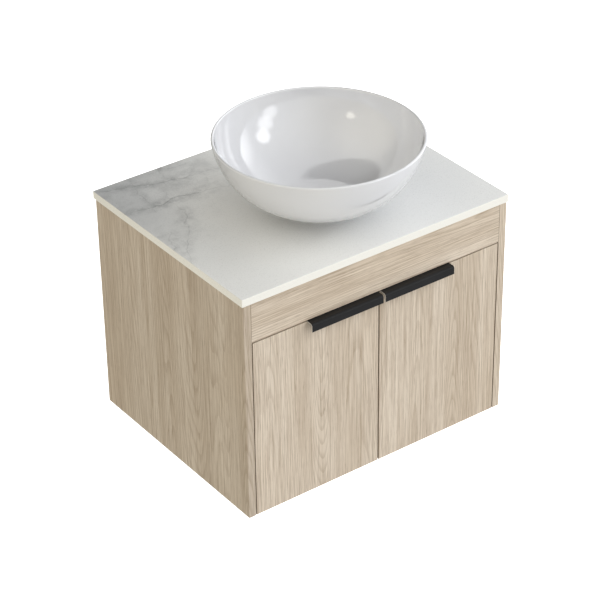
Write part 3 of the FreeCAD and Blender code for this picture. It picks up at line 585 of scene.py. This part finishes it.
def softbox(name, azimuth, elevation, distance, size, power):
    """A rectangular area light that faces the vanity and leaves no highlight."""
    out = toward(azimuth, elevation)
    light = bpy.data.lights.new(name, "AREA")
    light.shape = "RECTANGLE"
    light.size, light.size_y = size
    light.energy = power
    lamp = bpy.data.objects.new(name, light)
    bpy.context.scene.collection.objects.link(lamp)
    lamp.location = LIGHT_AIM + out * distance
    lamp.visible_glossy = False
    lamp.rotation_euler = (-out).to_track_quat("-Z", "Y").to_euler()


# the sky is brighter towards the front, a little to the right and overhead, and warmer
# on the left; each patch adds its gain inside its full radius and fades out by its outer
SKY_LEVEL = 0.735
SKY_OVERHEAD = 0.87
SKY_LEAN = (0.05, -0.14, 0.0)
SKY_COOL = (0.972, 0.984, 1.0)
SKY_WARM = (1.0, 0.952, 0.83)
SKY_PATCHES = (
    # azimuth, elevation, full radius and outer radius in degrees, then gain
    (19, 11, 3, 11, 1.6),
    (31, 21, 4, 12, 2.0),
    (43, 32, 4, 11, 2.6),
    (78, 8, 8, 28, 1.3),
    (-75, 24, 2.0, 6.5, 1.8),
    (172, 54, 19, 26, -1.0),
    (-105, 36, 12, 46, 0.36),
    (100, 14, 10, 40, 0.50),
    (180, 2, 15, 50, -0.34),
)


def light_sky():
    """The studio's surroundings, as a level and a warmth for each direction."""
    world = bpy.data.worlds.new("studio")
    world.use_nodes = True
    bpy.context.scene.world = world
    s = NodeCalls(world.node_tree)
    ray = s.tree.nodes.new("ShaderNodeTexCoord").outputs["Generated"]
    overhead = s.span(s.dot(ray, (0, 0, 1)), -0.1, 1.0, SKY_LEVEL, SKY_OVERHEAD)
    level = s.math("ADD", s.dot(ray, SKY_LEAN), overhead)
    for azimuth, elevation, full, outer, gain in SKY_PATCHES:
        near = s.dot(ray, toward(azimuth, elevation))
        edges = math.cos(math.radians(outer)), math.cos(math.radians(full))
        level = s.math("ADD", level, s.span(near, *edges, 0.0, gain))
    warmth = s.mix(s.span(s.dot(ray, (-1, 0, 0)), -0.2, 0.9), SKY_COOL, SKY_WARM)
    background = s.tree.nodes["Background"]
    s.link(warmth, background.inputs["Color"])
    s.link(level, background.inputs["Strength"])


def lay_floor():
    """A plain pale floor that neither lights the vanity nor shows in its reflections."""
    mesh = bpy.data.meshes.new("floor")
    corners = ((-1, -1), (1, -1), (1, 1), (-1, 1))
    mesh.from_pydata(
        [(x * FLOOR_HALF, y * FLOOR_HALF, FLOOR_Z) for x, y in corners], [], [(0, 1, 2, 3)]
    )
    floor = bpy.data.objects.new("floor", mesh)
    bpy.context.scene.collection.objects.link(floor)
    s = Shader("floor", Emission_Color=(1, 1, 1, 1), Emission_Strength=FLOOR_GLOW)
    paper = s.noise(s.place, 300.0, detail=2.0)
    rough = s.span(paper, 0.3, 0.7, 0.75, 0.9)
    mesh.materials.append(s.finish((0.93, 0.93, 0.93, 1.0), rough))
    floor.visible_diffuse = False
    floor.visible_glossy = False


place_camera()
softbox("key", 58, 32, 2.4, (0.6, 0.7), 8.0)
light_sky()
lay_floor()
bpy.context.scene.view_settings.view_transform = "Standard"

# ---- finishes for every CAD node ----
finishes = {
    # the left side panel's oak is 11% darker than the other fronts: painted shade for that side
    "left_side_panel": oak("oak_left_side_painted_shade", "Z", 1.0, tone=0.89),
    "right_side_panel": oak("oak_right_side", "Z", 2.3),
    "front_fascia": oak("oak_fascia", "X", 3.7),
    "left_door": oak("oak_left_door", "Z", 5.2),
    "right_door": oak("oak_right_door", "Z", 6.9),
    "bottom_panel": board("board_floor", "X", 8.1),
    "front_top_rail": board("board_front_rail", "X", 9.4),
    "rear_hanging_rail": board("board_hanging_rail", "X", 10.2),
    "rear_lower_rail": board("board_lower_rail", "X", 11.6),
    "countertop": stone(),
    "basin": ceramic(),
}
slot_finish = {
    "black_rubber": soft_black(),
    "clear_silicone": moulded("clear_silicone", srgb(226, 226, 220), srgb(214, 214, 206), 0.3),
    "white_nylon": moulded("white_nylon", srgb(232, 231, 226), srgb(224, 222, 216)),
    "chrome": plated("chrome", srgb(215, 216, 218), srgb(226, 227, 229), 0.05, 0.11),
    "nickel_steel": plated(
        "nickel_steel", srgb(188, 184, 177), srgb(202, 199, 192), 0.24, 0.36, (0.05, 1, 1)
    ),
    "plated_steel": plated("plated_steel", srgb(178, 178, 176), srgb(196, 196, 193), 0.26, 0.40),
    "zinc_cast": plated("zinc_cast", srgb(160, 161, 163), srgb(176, 177, 178), 0.42, 0.56),
    "brass": plated("brass", srgb(196, 166, 104), srgb(208, 180, 120), 0.22, 0.36, (1, 1, 0.1)),
    "beech": oak("beech", "X", 14.0, tone=0.9),
    "black_aluminium": black_metal(),
}
for part in frame["record"]["subparts"]:
    name, slot = part["node"], part["material_slot"]
    mesh = nodes[name].data
    mesh.materials.clear()
    mesh.materials.append(finishes.get(name) or slot_finish[slot])

# ---- detailed pieces ----
for name in ("fascia_screws", "hinge_arm_screws", "hinge_plate_screws"):
    detailed_screws(name, "cabinet")
for side in ("left", "right"):
    for name in ("handle_screws", "hinge_cup_screws"):
        detailed_screws(side + "_" + name, side + "_door")
